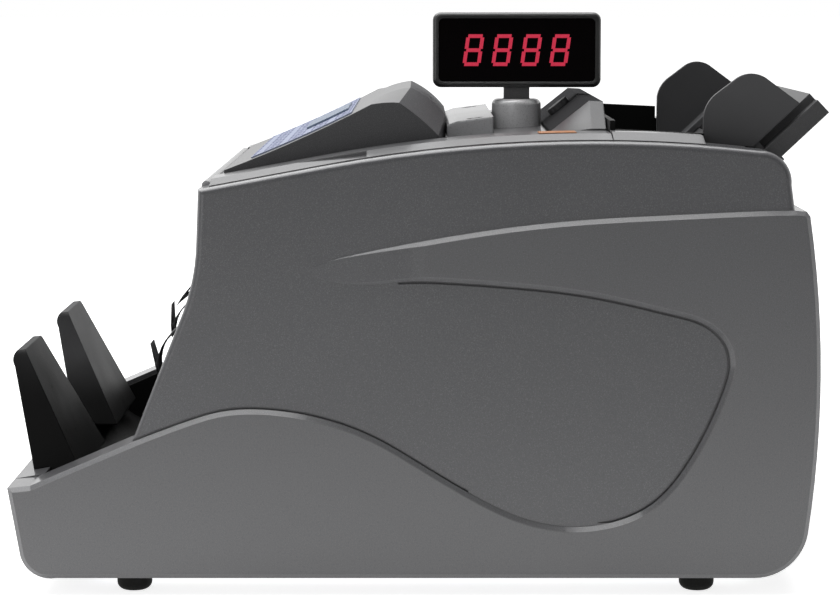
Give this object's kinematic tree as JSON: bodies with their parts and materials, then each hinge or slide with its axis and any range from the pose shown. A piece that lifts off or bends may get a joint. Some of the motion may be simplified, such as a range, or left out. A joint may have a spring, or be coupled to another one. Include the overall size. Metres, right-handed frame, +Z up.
{
  "type": "banknote counting machine",
  "caption": "Desktop banknote counting machine with a rear hopper, front stacker, crowned console and a display that swivels and tilts.",
  "frame": {"origin": "middle of the bounding box on the table, under the rubber feet", "axes": "+Z up, the front with the stacker faces -Y, +X is the operator's right"},
  "size_m": [0.25, 0.3123, 0.2166],
  "materials": {
    "grey_shell": "speckled metallic grey paint, satin",
    "grey_trim": "lighter grey paint, satin",
    "dark_plastic": "dark grey moulded",
    "black_plastic": "black moulded",
    "dark_window": "smoked acrylic",
    "lit_digits": "lit red segments",
    "membrane_print": "printed film, blue on pale",
    "orange_film": "bare orange film",
    "foot_rubber": "black rubber",
    "roller_rubber": "ribbed rubber",
    "belt_rubber": "flat belt",
    "wheel_plastic": "flexible moulded vanes",
    "zinc_steel": "zinc plated sheet",
    "shaft_steel": "ground steel",
    "bronze": "sintered bronze",
    "motor_paint": "painted",
    "board_green": "solder mask"
  },
  "bodies": {
    "chassis": {"base_pan": "zinc_steel", "bearings": "bronze", "console_housing": "grey_shell", "console_window": "dark_window", "display_socket": "black_plastic", "drive_belts": "belt_rubber", "feed_cover": "dark_plastic", "front_panel": "grey_shell", "fuse_holder": "black_plastic", "hopper_back_plate": "grey_trim", "hopper_cheek_left": "grey_trim", "hopper_cheek_right": "grey_trim", "hopper_liner": "black_plastic", "hopper_rail_left": "grey_trim", "hopper_rail_right": "grey_trim", "inner_frame_left": "zinc_steel", "inner_frame_right": "zinc_steel", "keypad_membrane": "membrane_print", "lower_guide_plate": "zinc_steel", "main_board": "board_green", "main_motor": "motor_paint", "marker_strip": "orange_film", "nose_apron": "grey_shell", "power_inlet": "black_plastic", "rear_cover": "grey_shell", "retard_bracket": "zinc_steel", "rubber_feet": "foot_rubber", "shoulder_trim_left": "grey_trim", "shoulder_trim_right": "grey_trim", "side_panel_left": "grey_shell", "side_panel_right": "grey_shell", "stacker_lining": "black_plastic", "stop_fin_left": "dark_plastic", "stop_fin_right": "dark_plastic", "switch_frame": "black_plastic", "tie_rods": "shaft_steel", "top_cover": "grey_shell", "transformer": "motor_paint", "upper_guide_plate": "zinc_steel"},
    "guide_right": {"note_guide_right": "dark_plastic"},
    "guide_left": {"note_guide_left": "dark_plastic"},
    "swivel": {"display_turntable": "grey_trim"},
    "display": {"display_neck": "dark_plastic", "display_case": "black_plastic", "display_window": "dark_window", "display_digits": "lit_digits"},
    "impeller_rotor": {"impeller_shaft": "shaft_steel", "stacker_wheel_right": "wheel_plastic", "stacker_wheel_left": "wheel_plastic"},
    "transport_rotor": {"transport_shaft": "shaft_steel", "transport_rollers": "roller_rubber"},
    "feed_rotor": {"feed_shaft": "shaft_steel", "feed_rollers": "roller_rubber"},
    "pickup_rotor": {"pickup_shaft": "shaft_steel", "pickup_rollers": "roller_rubber"},
    "motor_rotor": {"motor_shaft": "shaft_steel"},
    "rocker": {"rocker_switch": "black_plastic"},
    "gap_adjuster": {"gap_knob": "dark_plastic"}
  },
  "joints": [
    {"name": "guide_right_slide", "type": "slide", "parent": "chassis", "child": "guide_right", "axis": [1, 0, 0], "range_m": [-0.04, 0]},
    {"name": "guide_left_slide", "type": "slide", "parent": "chassis", "child": "guide_left", "axis": [1, 0, 0], "range_m": [0, 0.04]},
    {"name": "display_swivel", "type": "hinge", "parent": "chassis", "child": "swivel", "pos_m": [0, 0.042, 0.176], "axis": [0, 0, 1], "range_deg": [-90, 90]},
    {"name": "display_tilt", "type": "hinge", "parent": "swivel", "child": "display", "pos_m": [0, 0.042, 0.1762], "axis": [0, 1, 0], "range_deg": [-15, 8]},
    {"name": "motor_spin", "type": "hinge", "parent": "chassis", "child": "motor_rotor", "pos_m": [0, 0.06, 0.062], "axis": [1, 0, 0], "continuous": true},
    {"name": "feed_spin", "type": "hinge", "parent": "chassis", "child": "feed_rotor", "pos_m": [0, 0.072, 0.132], "axis": [1, 0, 0], "continuous": true},
    {"name": "transport_spin", "type": "hinge", "parent": "chassis", "child": "transport_rotor", "pos_m": [0, 0.02, 0.118], "axis": [1, 0, 0], "continuous": true},
    {"name": "impeller_spin", "type": "hinge", "parent": "chassis", "child": "impeller_rotor", "pos_m": [0, -0.07, 0.0765], "axis": [1, 0, 0], "continuous": true},
    {"name": "pickup_spin", "type": "hinge", "parent": "chassis", "child": "pickup_rotor", "pos_m": [0, 0.098, 0.136], "axis": [1, 0, 0], "continuous": true},
    {"name": "rocker_tip", "type": "hinge", "parent": "chassis", "child": "rocker", "pos_m": [0.042, 0.1439, 0.044], "axis": [1, 0, 0], "range_deg": [-16, 0]},
    {"name": "gap_knob_turn", "type": "hinge", "parent": "chassis", "child": "gap_adjuster", "pos_m": [0, 0.06007, 0.17704], "axis": [0, -0.6234, 0.7819], "range_deg": [-150, 150]}
  ],
  "couplings": [
    {"joint": "feed_spin", "follows": "motor_spin", "ratio": 0.5},
    {"joint": "transport_spin", "follows": "motor_spin", "ratio": 0.5},
    {"joint": "impeller_spin", "follows": "motor_spin", "ratio": 0.70588},
    {"joint": "pickup_spin", "follows": "motor_spin", "ratio": 0.5}
  ]
}
